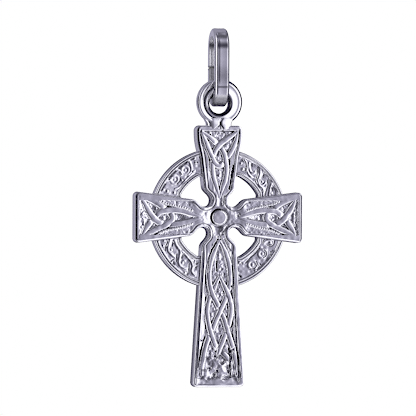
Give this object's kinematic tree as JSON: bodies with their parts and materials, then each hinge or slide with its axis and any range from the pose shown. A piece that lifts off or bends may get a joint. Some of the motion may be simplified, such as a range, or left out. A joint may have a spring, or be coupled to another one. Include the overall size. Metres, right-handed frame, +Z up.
{
  "type": "celtic cross pendant",
  "caption": "Ringed cross pendant with raised knotwork, hanging by a round eye from an oblong bail.",
  "frame": {"origin": "top of the inside of the bail's upper bend, where a chain carries the pendant", "axes": "+Z up along the hanging pendant, -Y out of the carved front, +X to the right seen from the front"},
  "size_m": [0.0222, 0.005, 0.0465],
  "materials": {
    "silver_bail": "polished silver",
    "silver_cross": "polished silver, darker in the recesses"
  },
  "bodies": {
    "bail": {"bail": "silver_bail"},
    "cross": {"cross": "silver_cross"}
  },
  "joints": [
    {"name": "swing", "type": "hinge", "parent": "bail", "child": "cross", "pos_m": [0, 0, -0.00632], "axis": [1, 0, 0], "range_deg": [-110, 110]}
  ]
}
